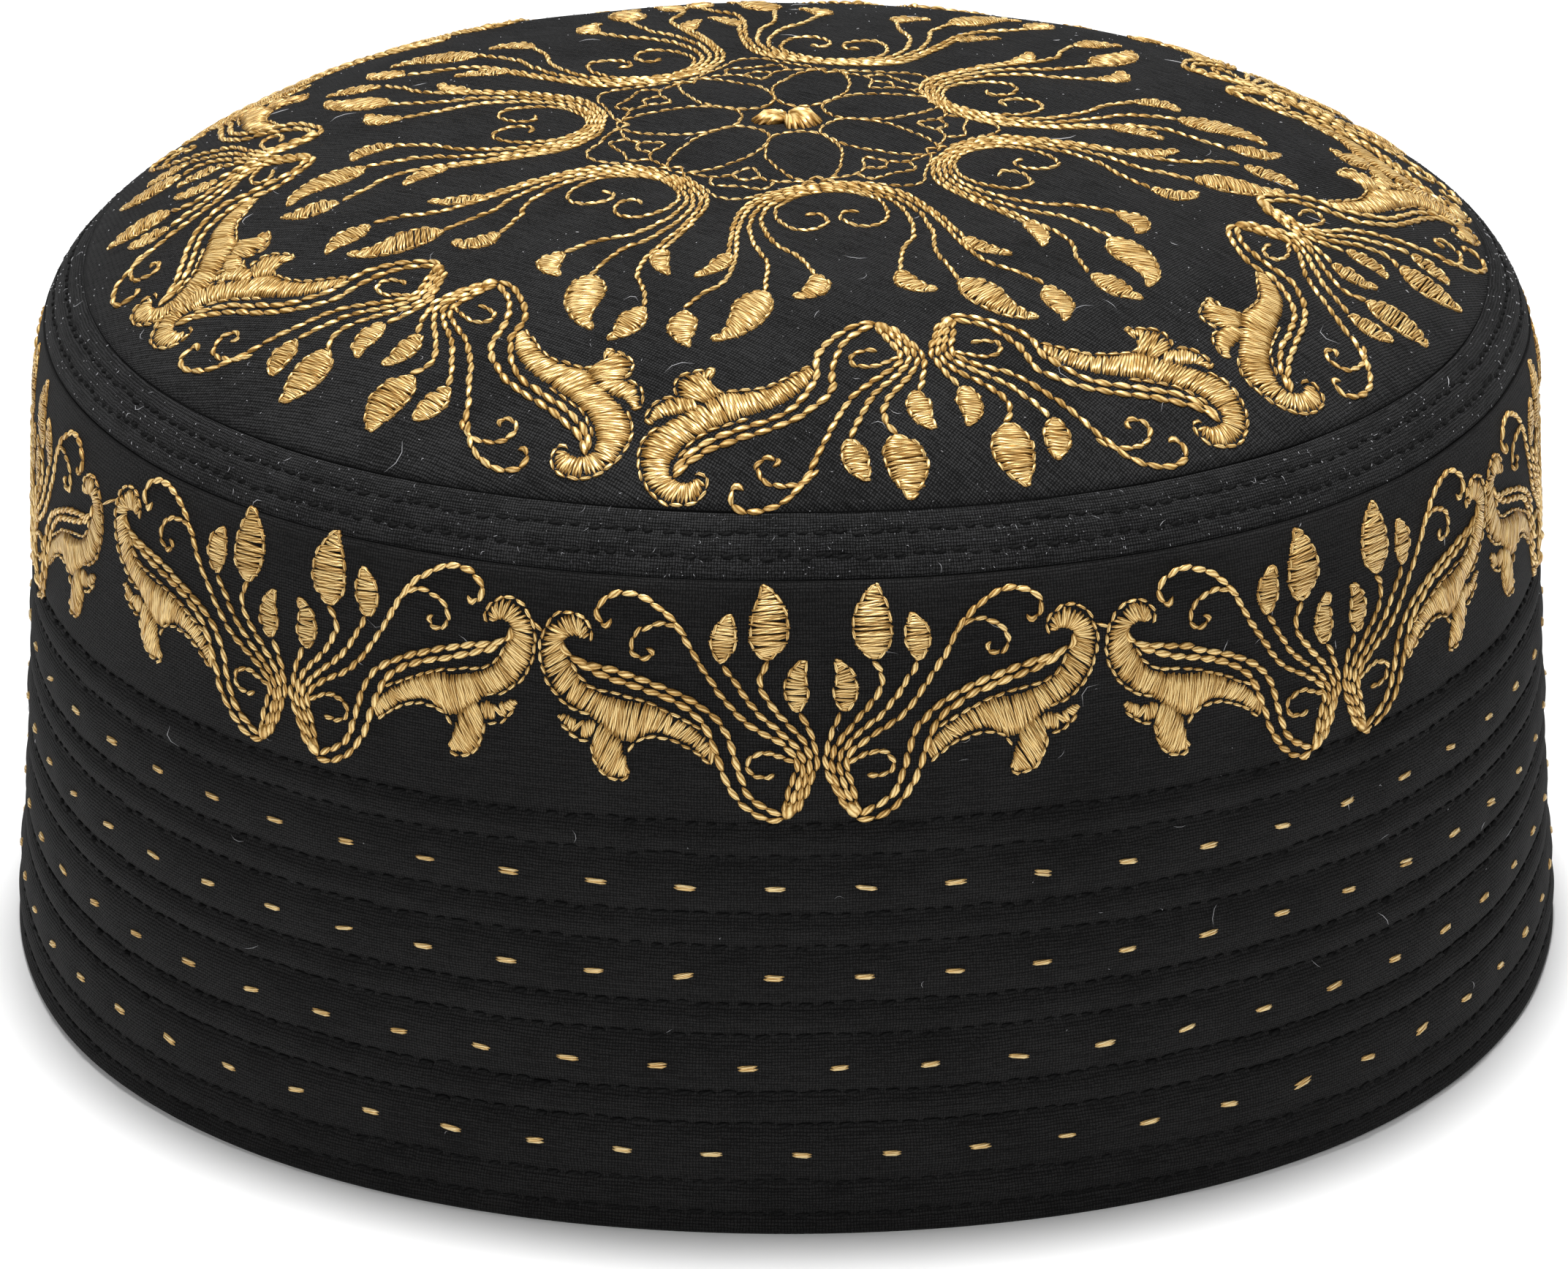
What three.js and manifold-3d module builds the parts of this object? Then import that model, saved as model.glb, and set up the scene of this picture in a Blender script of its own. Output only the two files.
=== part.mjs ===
// A stiff, round, flat-topped cap of black cotton that stands on its own rim.
// Millimetres, +Z up. The origin is at the middle of the rim, on the surface that the cap stands on,
// and the front of the cap faces -Y.
//
// The cap is sewn from three pieces of quilted cloth. A tall band goes round the head, narrow stitched
// channels run round its lower part, and it flares a little towards the rim. A bevelled strip joins the
// band to the crown, and holds the turned-in edges of both. The crown is a shallow dome. A small raised
// knot of gold thread sits at its middle.

import * as THREE from 'three';
import { mergeVertices } from 'three/addons/utils/BufferGeometryUtils.js';
import Module from 'manifold-3d';

const wasm = await Module();
wasm.setup();

// Driving sizes of the whole cap
const WALL_RADIUS = 93.05;    // outside of the band, high up
const BAND_HEIGHT = 79.8;     // rim to the fold where the band ends
const RIM_FLARE = 4.75;       // how much wider the rim is than the wall, on the radius
const FOLD_ROUND = 1.3;       // how far the band leans in at its top edge
const FOLD_ROUND_HEIGHT = 8;  // the height over which it does
const SEAM_RADIUS = 86.8;     // the crown seam
const STRIP_RISE = 6.1;       // the fold up to the crown seam
const STRIP_BULGE = 0.7;      // how far the bevelled strip stands out from a straight cone
const CROWN_RISE = 17.2;      // the crown seam up to the middle of the crown
const SQUARENESS = 0.009;     // share by which the plan is fuller at its four diagonals

// Cloth
const CLOTH = 2;              // thickness of each quilted wall
const TURNED_EDGE = 0.8;      // thickness of the turned-in cloth behind a seam
const LAP = 6;                // how far it reaches under its neighbour
const GAP = 0.3;              // clearance between sewn pieces

// Quilting: pairs of stitched rows, with a wide padded channel between one pair and the next
const PAIR_COUNT = 5;
const PAIR_PITCH = 10.95;     // one pair of rows to the next
const PAIR_WIDTH = 3.9;       // between the two rows of a pair
const HEM = 2.6;              // the rim to the lowest row
const QUILT_DEPTH = 0.7;      // how deep the thread pulls the cloth in
const CREST_SHARE = 0.25;     // share of a wide channel over which the cloth rises again

// Knot at the middle of the crown
const KNOT_LENGTH = 8.7;
const KNOT_WIDTH = 4.6;
const KNOT_HEIGHT = 2;
const LOBE_REACH = 0.3;       // half the length of each lobe, as a share of the knot's
const LOBE_SHIFT = 0.2;       // how far each lobe sits from the middle, as a share of the knot's length

// Faceting
const TURN_STEPS = 72;        // round the cap
const CURVE_STEPS = 8;        // along the crown's curve
const STRIP_STEPS = 3;        // across the bevelled strip
const WALL_STEPS = 3;         // up the plain part of the band
const LOBE_STEPS = 14;        // round each lobe of the knot

const FLARE_POWER = 1.5;      // shape of the flare, gentle above and quicker at the rim
const DOME_FLAT_SHARE = 0.108; // share of the crown's rise that goes with the square of the radius
const SEAM_HEIGHT = BAND_HEIGHT + STRIP_RISE;
const CROWN_HEIGHT = SEAM_HEIGHT + CROWN_RISE;
const QUILT_TOP = HEM + (PAIR_COUNT - 1) * PAIR_PITCH + PAIR_WIDTH;
const FOLD_RADIUS = WALL_RADIUS - FOLD_ROUND;

const black_cotton = { color: 0x1b1918, roughness: 0.92, metalness: 0 };
const gold_thread = { color: 0xd3a65a, roughness: 0.45, metalness: 0.15 };

// Outside radius of the band at a height, without its quilting
function wallRadius(height) {
  const flare = RIM_FLARE * Math.pow(1 - height / BAND_HEIGHT, FLARE_POWER);
  const round = Math.max(0, height - (BAND_HEIGHT - FOLD_ROUND_HEIGHT)) / FOLD_ROUND_HEIGHT;
  return WALL_RADIUS + flare - FOLD_ROUND * round * round;
}

// Height of the crown's outer face at a radius: flat in the middle and rounder near the seam
function crownHeight(radius) {
  const share = radius / SEAM_RADIUS;
  const fall = DOME_FLAT_SHARE * share ** 2 + (1 - DOME_FLAT_SHARE) * share ** 4;
  return CROWN_HEIGHT - CROWN_RISE * fall;
}

const point = (radius, height) => new THREE.Vector2(radius, height);

// The same curve moved along its normal, to the left of its direction when the distance is positive
function offset(curve, distance) {
  return curve.map((here, index) => {
    const before = curve[Math.max(0, index - 1)];
    const after = curve[Math.min(curve.length - 1, index + 1)];
    const along = after.clone().sub(before).normalize();
    return point(here.x - along.y * distance, here.y + along.x * distance);
  });
}

// The stretch of a curve within a length of its start
function stretch(curve, length) {
  const part = [curve[0].clone()];
  let left = length;
  for (let index = 1; index < curve.length && left > 0; index += 1) {
    const step = curve[index].distanceTo(curve[index - 1]);
    part.push(curve[index - 1].clone().lerp(curve[index], Math.min(1, left / step)));
    left -= step;
  }
  return part;
}

// The smooth outside of the band, from the rim up to a height below the fold
function bandCurve(top) {
  const heights = [0, HEM + PAIR_WIDTH / 2];
  for (let pair = 1; pair < PAIR_COUNT; pair += 1) {
    heights.push(HEM + pair * PAIR_PITCH + PAIR_WIDTH / 2);
  }
  const plain = BAND_HEIGHT - FOLD_ROUND_HEIGHT - QUILT_TOP;
  for (let step = 1; step <= WALL_STEPS; step += 1) {
    heights.push(QUILT_TOP + (plain * step) / WALL_STEPS);
  }
  heights.push(BAND_HEIGHT - FOLD_ROUND_HEIGHT / 2, top);
  return heights.map((height) => point(wallRadius(height), height));
}

// The outside of the band, with a groove at each stitched row and a crest between rows
function quiltedCurve(top) {
  const crest = (height) => point(wallRadius(height), height);
  const groove = (height) => point(wallRadius(height) - QUILT_DEPTH, height);
  const channel = PAIR_PITCH - PAIR_WIDTH;
  const curve = [crest(0)];
  for (let pair = 0; pair < PAIR_COUNT; pair += 1) {
    const low = HEM + pair * PAIR_PITCH;
    const high = low + PAIR_WIDTH;
    curve.push(groove(low), crest((low + high) / 2), groove(high));
    if (pair < PAIR_COUNT - 1) {
      curve.push(crest(high + channel * CREST_SHARE), crest(high + channel * (1 - CREST_SHARE)));
    }
  }
  curve.push(crest(QUILT_TOP + channel * CREST_SHARE));
  return [...curve, ...bandCurve(top).filter((spot) => spot.y > QUILT_TOP + channel / 2)];
}

// The outside of the bevelled strip, from the fold up to the seam
function stripCurve() {
  const fold = point(FOLD_RADIUS, BAND_HEIGHT);
  const seam = point(SEAM_RADIUS, SEAM_HEIGHT);
  const across = seam.clone().sub(fold).normalize();
  const outward = point(across.y, -across.x);
  const curve = [];
  for (let step = 0; step <= STRIP_STEPS; step += 1) {
    const share = step / STRIP_STEPS;
    const bulge = outward.clone().multiplyScalar(STRIP_BULGE * 4 * share * (1 - share));
    curve.push(fold.clone().lerp(seam, share).add(bulge));
  }
  return curve;
}

// The outside of the crown, from the seam in to the middle
function crownCurve(edge) {
  const curve = [];
  for (let step = 0; step <= CURVE_STEPS; step += 1) {
    const radius = edge * Math.sqrt(1 - step / CURVE_STEPS);
    curve.push(point(radius, crownHeight(radius)));
  }
  return curve;
}

// A closed outline turned about the cap's axis, with the plan a little square
function turned(outline) {
  const closed = outline[0].x === 0 ? outline : [...outline, outline[0].clone()];
  const lathe = new THREE.LatheGeometry(closed, TURN_STEPS);
  lathe.rotateX(Math.PI / 2);
  lathe.deleteAttribute('uv');
  lathe.deleteAttribute('normal');
  const place = lathe.attributes.position;
  for (let index = 0; index < place.count; index += 1) {
    const angle = Math.atan2(place.getY(index), place.getX(index));
    const fuller = 1 - SQUARENESS * Math.cos(4 * angle);
    place.setXY(index, place.getX(index) * fuller, place.getY(index) * fuller);
  }
  const merged = mergeVertices(lathe, 1e-4);
  return dropThinTriangles(merged);
}

// At the axis a lathe leaves triangles with two corners in one place, and they are left out
function dropThinTriangles(geometry) {
  const corners = geometry.index.array;
  const kept = [];
  for (let index = 0; index < corners.length; index += 3) {
    const [a, b, c] = corners.slice(index, index + 3);
    if (a !== b && b !== c && c !== a) kept.push(a, b, c);
  }
  geometry.setIndex(kept);
  return geometry;
}

function toSolid(geometry) {
  geometry.deleteAttribute('uv');
  geometry.deleteAttribute('normal');
  const merged = dropThinTriangles(mergeVertices(geometry, 1e-5));
  const mesh = new wasm.Mesh({
    numProp: 3,
    vertProperties: new Float32Array(merged.attributes.position.array),
    triVerts: new Uint32Array(merged.index.array),
  });
  return new wasm.Manifold(mesh);
}

function toGeometry(solid) {
  const mesh = solid.getMesh();
  const geometry = new THREE.BufferGeometry();
  geometry.setAttribute('position', new THREE.BufferAttribute(mesh.vertProperties, 3));
  geometry.setIndex(new THREE.BufferAttribute(mesh.triVerts, 1));
  return geometry;
}

// The band: quilted outside, smooth inside, with a flat rim to stand on
function sideBand() {
  const top = BAND_HEIGHT - GAP;
  const inside = offset(bandCurve(top), CLOTH);
  inside[0] = point(inside[0].x, 0);
  return turned([...quiltedCurve(top), ...inside.reverse()]);
}

// The bevelled strip, with its turned-in edges lying behind the band and under the crown
function shoulderStrip() {
  const face = stripCurve();
  const depth = CLOTH + GAP;
  const bandSide = stretch(bandCurve(BAND_HEIGHT).reverse(), LAP).reverse();
  const crownSide = stretch(crownCurve(SEAM_RADIUS), LAP);
  const whole = [...bandSide, ...face.slice(1, -1), ...crownSide];
  const front = offset(whole, depth);
  const back = offset(whole, depth + TURNED_EDGE);
  const start = bandSide.length - 1;
  const end = start + face.length - 1;
  return turned([
    ...front.slice(0, start + 1),
    ...face,
    ...front.slice(end),
    ...back.reverse(),
  ]);
}

// The crown: a dome of even thickness whose edge stops just short of the seam
function crownTop() {
  const outside = crownCurve(SEAM_RADIUS - GAP);
  const inside = offset(outside, CLOTH);
  const middle = inside.length - 1;
  inside[middle] = point(0, CROWN_HEIGHT - CLOTH);
  outside[middle] = point(0, CROWN_HEIGHT);
  return turned([...inside.reverse(), ...outside]);
}

// The knot: two padded lobes of satin thread, flat underneath
function centreKnot() {
  const base = CROWN_HEIGHT + GAP;
  const lobe = (side) => {
    const ball = new THREE.SphereGeometry(1, LOBE_STEPS, LOBE_STEPS / 2);
    ball.scale(KNOT_LENGTH * LOBE_REACH, KNOT_WIDTH / 2, KNOT_HEIGHT);
    ball.translate(side * KNOT_LENGTH * LOBE_SHIFT, 0, base);
    return toSolid(ball);
  };
  const under = new THREE.BoxGeometry(KNOT_LENGTH * 2, KNOT_WIDTH * 2, KNOT_HEIGHT * 2);
  under.translate(0, 0, base - KNOT_HEIGHT);
  return toGeometry(lobe(-1).add(lobe(1)).subtract(toSolid(under)));
}

function piece(name, geometry, look) {
  const mesh = new THREE.Mesh(geometry, new THREE.MeshStandardMaterial(look));
  mesh.name = name;
  return mesh;
}

const skullcap = new THREE.Group();
skullcap.add(
  piece('side_band', sideBand(), black_cotton),
  piece('shoulder_strip', shoulderStrip(), black_cotton),
  piece('crown_top', crownTop(), black_cotton),
  piece('centre_knot', centreKnot(), gold_thread),
);

export default skullcap;
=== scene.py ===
"""A stiff black cotton cap with gold embroidery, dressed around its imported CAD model.

Lengths are millimetres until a mesh is made. The front of the cap faces -Y. An angle round the
cap is counted from the front, and grows towards +X. A chart is a flat drawing of embroidery:
on the band its two numbers are the way round from the motif's middle and the height, and on the
crown they are the way across and the distance from the cap's middle.
"""

import math

import bpy
import numpy as np
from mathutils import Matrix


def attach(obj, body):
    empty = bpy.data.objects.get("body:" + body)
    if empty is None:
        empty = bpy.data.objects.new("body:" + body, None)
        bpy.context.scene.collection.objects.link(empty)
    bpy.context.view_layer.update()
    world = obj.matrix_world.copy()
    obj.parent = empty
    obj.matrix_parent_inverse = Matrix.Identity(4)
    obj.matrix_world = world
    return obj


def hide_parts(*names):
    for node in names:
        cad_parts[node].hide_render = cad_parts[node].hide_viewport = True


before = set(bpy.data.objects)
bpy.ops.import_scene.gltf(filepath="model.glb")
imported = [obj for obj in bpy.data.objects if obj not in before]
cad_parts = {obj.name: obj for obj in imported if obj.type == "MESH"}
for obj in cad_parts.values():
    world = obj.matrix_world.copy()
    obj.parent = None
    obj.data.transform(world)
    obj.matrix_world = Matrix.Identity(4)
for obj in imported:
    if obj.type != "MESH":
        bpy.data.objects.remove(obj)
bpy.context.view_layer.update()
draw = np.random.default_rng(11)

MM = 0.001

# The cap's shape, as in its CAD source
WALL_RADIUS = 93.05
BAND_HEIGHT = 79.8
RIM_FLARE = 4.75
FLARE_POWER = 1.5
FOLD_ROUND = 1.3
FOLD_ROUND_HEIGHT = 8.0
SEAM_RADIUS = 86.8
STRIP_RISE = 6.1
STRIP_BULGE = 0.7
CROWN_RISE = 17.2
DOME_FLAT_SHARE = 0.108
SQUARENESS = 0.009
CLOTH = 2.0
PAIR_COUNT = 5
PAIR_PITCH = 10.95
PAIR_WIDTH = 3.9
HEM = 2.6
SEAM_HEIGHT = BAND_HEIGHT + STRIP_RISE
CROWN_HEIGHT = SEAM_HEIGHT + CROWN_RISE
FOLD_RADIUS = WALL_RADIUS - FOLD_ROUND
STITCHED_ROWS = [
    HEM + pair * PAIR_PITCH + side * PAIR_WIDTH
    for pair in range(PAIR_COUNT)
    for side in (0, 1)
]

# Relief of the sewn cloth
QUILT_DEPTH = 0.75
QUILT_PUFF = 0.35
PUFF_POWER = 0.6  # lower is fuller
NARROW_CHANNEL = 5.0  # channels up to this wide puff out less
NARROW_PUFF_SHARE = 0.35
HEM_FADE = 0.8  # how fast the cloth rises from the lowest row, and from the highest
PLAIN_FADE = 1.3
DIMPLE = 0.28  # the gold running stitches pull the cloth in
DIMPLE_HEIGHT = 1.3
RIM_TUCK = 0.7
RIM_TUCK_FADE = 0.45
RIM_REST = 1.0  # the unevenness fades over this height, so that the rim rests on the floor
STRIP_ROWS = (0.31, 0.67)  # stitched rows on the strip, as shares of its width
STRIP_SINK = 0.36
STRIP_SINK_REACH = 0.06
SEAM_SINK = 0.2
SEAM_SINK_REACH = 0.08
CROWN_UNEVENNESS = 1.2  # against the band's
CROWN_EDGE_POWER = 6  # it fades only close to the crown seam
MIDDLE_PUFF = 1.0  # the cloth round the knot is a little padded
MIDDLE_PUFF_RADIUS = 16.0
KNOT_DIP = 1.1  # and the knot pulls it in
KNOT_DIP_RADIUS = 4.0
# Slow waves of the cloth: how high, how fast along x, y and z, and where each starts
WAVES = (
    (0.16, 0.071, 0.053, 0, 0.9),
    (0.13, 0, -0.094, 0.061, 2.1),
    (0.10, 0.131, 0, -0.117, 0.4),
    (0.07, 0.23, 0.19, -0.21, 0),
)

# Gold running stitches in the wide channels: height, first angle and how many in each row
RUNNING_LENGTH = 2.4
RUNNING_ROWS = ((42.85, 5.6, 57), (31.95, 5.5, 57), (20.8, 3.7, 57), (10.1, 1.1, 58))

CHART_RADIUS = 95.0  # the radius on which the band's chart is unrolled
STRIP_CHART = 8.0  # the strip's width on its chart
CROWN_COUNT = 7
SEVENTH = 360 / CROWN_COUNT
PETAL_ANGLE = 10.6
# The vines and the rosette lie round a point a little in front of the middle
INNER_CENTRE = (0, -2.0)
# The embroidery was guided by hand. A frieze copy has its angle, and how far up it lies
FRIEZE_COPIES = (
    (-157.7, 0), (-118, 0), (-79.4, -1.1), (-37.6, 0.9), (2.45, 0), (42.85, -0.6), (82.5, -0.3),
    (122.3, 0), (162.3, 0),
)
# A border copy has its angle, how far out it lies, and its share of the chart's depth and width
BORDER_COPIES = (
    (-141, 5.0, 0.8, 0.98), (-91.7, -1.8, 0.9, 1.05), (-39.8, -1.4, 0.9, 1.05),
    (14.2, 0.5, 0.9, 1.05), (68.7, -0.1, 0.9, 1.05), (118.2, 1.0, 0.9, 0.98),
    (169, 8.0, 0.7, 0.98),
)
# A vine copy has its angle, and how far out it lies
VINE_COPIES = (
    (-144, -1.7), (-94, -1.5), (-39.7, -2.0), (10.4, -2.2), (62.5, -2.2), (114, -4.2), (169.1, -0.3),
)
BORDER_START = 59.1  # how far from the middle a border motif's foot lies
BORDER_FOOT = 51.0  # and its height on the chart
CROWN_REACH = 86.3  # the crown seam cuts off what is sewn further out


def fuller(angle):
    """The plan is a little square: fuller at its four diagonals."""
    return 1 - SQUARENESS * np.cos(4 * angle)


def wall_radius(height):
    flare = RIM_FLARE * np.clip(1 - height / BAND_HEIGHT, 0, 1) ** FLARE_POWER
    rounded = np.clip(height - (BAND_HEIGHT - FOLD_ROUND_HEIGHT), 0, None) / FOLD_ROUND_HEIGHT
    return WALL_RADIUS + flare - FOLD_ROUND * rounded**2


def wall_slope(height):
    step = 0.05
    return (wall_radius(height + step) - wall_radius(height - step)) / (2 * step)


def crown_height(radius):
    share = radius / SEAM_RADIUS
    return CROWN_HEIGHT - CROWN_RISE * (
        DOME_FLAT_SHARE * share**2 + (1 - DOME_FLAT_SHARE) * share**4
    )


def crown_slope(radius):
    share = radius / SEAM_RADIUS
    return -CROWN_RISE / SEAM_RADIUS * (
        2 * DOME_FLAT_SHARE * share + 4 * (1 - DOME_FLAT_SHARE) * share**3
    )


def ring_points(flat, angle, height):
    """Points at a distance from the cap's axis, at an angle round it and at a height."""
    return np.stack([flat * np.sin(angle), -flat * np.cos(angle), height], -1)


def unevenness(x, y, z):
    """Slow waves of hand-sewn cloth, in millimetres."""
    return sum(
        high * np.sin(by_x * x + by_y * y + by_z * z + start)
        for high, by_x, by_y, by_z, start in WAVES
    )


def quilting(angle, height):
    """How far the cloth of the band stands out from its plain wall."""
    rows = np.array(STITCHED_ROWS)
    out = np.zeros_like(height)
    below = height <= rows[0]
    out = np.where(below, -QUILT_DEPTH * np.exp(-(rows[0] - height) / HEM_FADE), out)
    above = height > rows[-1]
    out = np.where(above, -QUILT_DEPTH * np.exp(-(height - rows[-1]) / PLAIN_FADE), out)
    for low, high in zip(rows[:-1], rows[1:]):
        inside = (height > low) & (height <= high)
        share = np.clip((height - low) / (high - low), 0, 1)
        puff = QUILT_PUFF * (1.0 if high - low > NARROW_CHANNEL else NARROW_PUFF_SHARE)
        bulge = -QUILT_DEPTH + (QUILT_DEPTH + puff) * np.sin(math.pi * share) ** PUFF_POWER
        out = np.where(inside, bulge, out)
    for level, first, many in RUNNING_ROWS:
        turn = many * (angle - math.radians(first))
        near = np.exp(-(((height - level) / DIMPLE_HEIGHT) ** 2))
        out = out - DIMPLE * near * (0.5 + 0.5 * np.cos(turn)) ** 2
    return out - RIM_TUCK * np.exp(-height / RIM_TUCK_FADE)


def on_wall(angle, height, out):
    """Points on the band's outer face, or a distance out from it."""
    slope = wall_slope(height)
    length = np.sqrt(1 + slope**2)
    radius = wall_radius(height) + quilting(angle, height)
    flat = radius * fuller(angle)
    x, y = flat * np.sin(angle), -flat * np.cos(angle)
    lifted = out + unevenness(x, y, height) * (1 - np.exp(-height / RIM_REST))
    return ring_points(flat + lifted / length, angle, height - lifted * slope / length)


def on_crown(x, y, out):
    """Points on the crown's outer face, or a distance up from it."""
    flat = np.hypot(x, y)
    angle = np.arctan2(x, -y)
    radius = flat / fuller(angle)
    slope = crown_slope(radius)
    length = np.sqrt(1 + slope**2)
    height = crown_height(radius)
    puff = MIDDLE_PUFF * np.exp(-((radius / MIDDLE_PUFF_RADIUS) ** 2))
    puff = puff - KNOT_DIP * np.exp(-((radius / KNOT_DIP_RADIUS) ** 2))
    fade = 1 - (radius / SEAM_RADIUS) ** CROWN_EDGE_POWER
    lifted = out + puff + CROWN_UNEVENNESS * unevenness(x, y, height) * fade
    scale = (flat - lifted * slope / length) / np.maximum(flat, 1e-6)
    return np.stack([x * scale, y * scale, height + lifted / length], -1)


def strip_relief(share):
    out = np.zeros_like(share)
    for row in STRIP_ROWS:
        out = out - STRIP_SINK * np.exp(-np.abs(share - row) / STRIP_SINK_REACH)
    for seam in (0.0, 1.0):
        out = out - SEAM_SINK * np.exp(-np.abs(share - seam) / SEAM_SINK_REACH)
    return out


def on_strip(angle, share, out):
    """Points on the bevelled strip: share 0 is the fold and 1 the crown seam."""
    run = np.array([SEAM_RADIUS - FOLD_RADIUS, SEAM_HEIGHT - BAND_HEIGHT])
    run_length = np.hypot(*run)
    outward = np.array([run[1], -run[0]]) / run_length
    lift = STRIP_BULGE * 4 * share * (1 - share) + strip_relief(share) + out
    radius = FOLD_RADIUS + run[0] * share + outward[0] * lift
    height = BAND_HEIGHT + run[1] * share + outward[1] * lift
    flat = radius * fuller(angle)
    x, y = flat * np.sin(angle), -flat * np.cos(angle)
    return ring_points(flat + unevenness(x, y, height), angle, height)


def band_map(axis, rise=0.0):
    """Takes the band's chart round to one motif's middle, an angle in degrees."""
    turn = math.radians(axis)
    return lambda p, out: on_wall(turn + p[..., 0] / CHART_RADIUS, p[..., 1] + rise, out)


def crown_map(axis, wide=1.0, start=0.0, deep=1.0, base=0.0, centre=(0, 0)):
    """Lays a chart on the crown: across, and outwards along one angle in degrees."""
    turn = math.radians(axis)
    right = (math.cos(turn), math.sin(turn))
    ahead = (math.sin(turn), -math.cos(turn))

    def place(p, out):
        across = p[..., 0] * wide
        far = start + (p[..., 1] - base) * deep
        return on_crown(
            centre[0] + far * ahead[0] + across * right[0],
            centre[1] + far * ahead[1] + across * right[1],
            out,
        )

    return place


# Lines and threads on a chart
CURVE_STEPS = 10


def curve(points):
    """A smooth line through the points, and how far along it each of its points lies."""
    p = np.array(points, float)
    ends = np.vstack([2 * p[0] - p[1], p, 2 * p[-1] - p[-2]])
    t = np.linspace(0, 1, CURVE_STEPS, endpoint=False)[:, None]
    parts = [
        0.5 * (
            2 * b + (c - a) * t + (2 * a - 5 * b + 4 * c - d) * t**2
            + (3 * b - a - 3 * c + d) * t**3
        )
        for a, b, c, d in zip(ends, ends[1:], ends[2:], ends[3:])
    ]
    line = np.vstack([*parts, p[-1:]])
    gone = np.concatenate([[0], np.cumsum(np.hypot(*np.diff(line, axis=0).T))])
    return line, gone


def along(line, gone, where):
    return np.stack([np.interp(where, gone, line[:, k]) for k in (0, 1)], -1)


def mirrored(points):
    return [(-x, y) for x, y in points]


def drawn_in(edge, other, inset=0.15, least=1.5):
    """An edge moved a little towards the edge across from it, whose points may be more or fewer.
    It moves less where the two are closer together than least."""
    edge, other = np.array(edge, float), np.array(other, float)
    share = np.linspace(0, 1, len(edge)) * (len(other) - 1)
    across = np.stack([np.interp(share, np.arange(len(other)), other[:, k]) for k in (0, 1)], -1)
    way = edge - across
    return edge - way / np.maximum(np.hypot(*way.T), least)[:, None] * inset


THREAD_SINK = 0.12  # how deep a thread's underside lies in the cloth
UNEVEN_WIDTH = (0.9, 1.1)
UNEVEN_HEIGHT = (0.85, 1.15)
TONE_SPREAD = 50.0  # each thread starts elsewhere on its texture
PAIR_SHARE = 0.5  # share of a thread's random tone, shared with its neighbour; the rest is painted end shade


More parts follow.
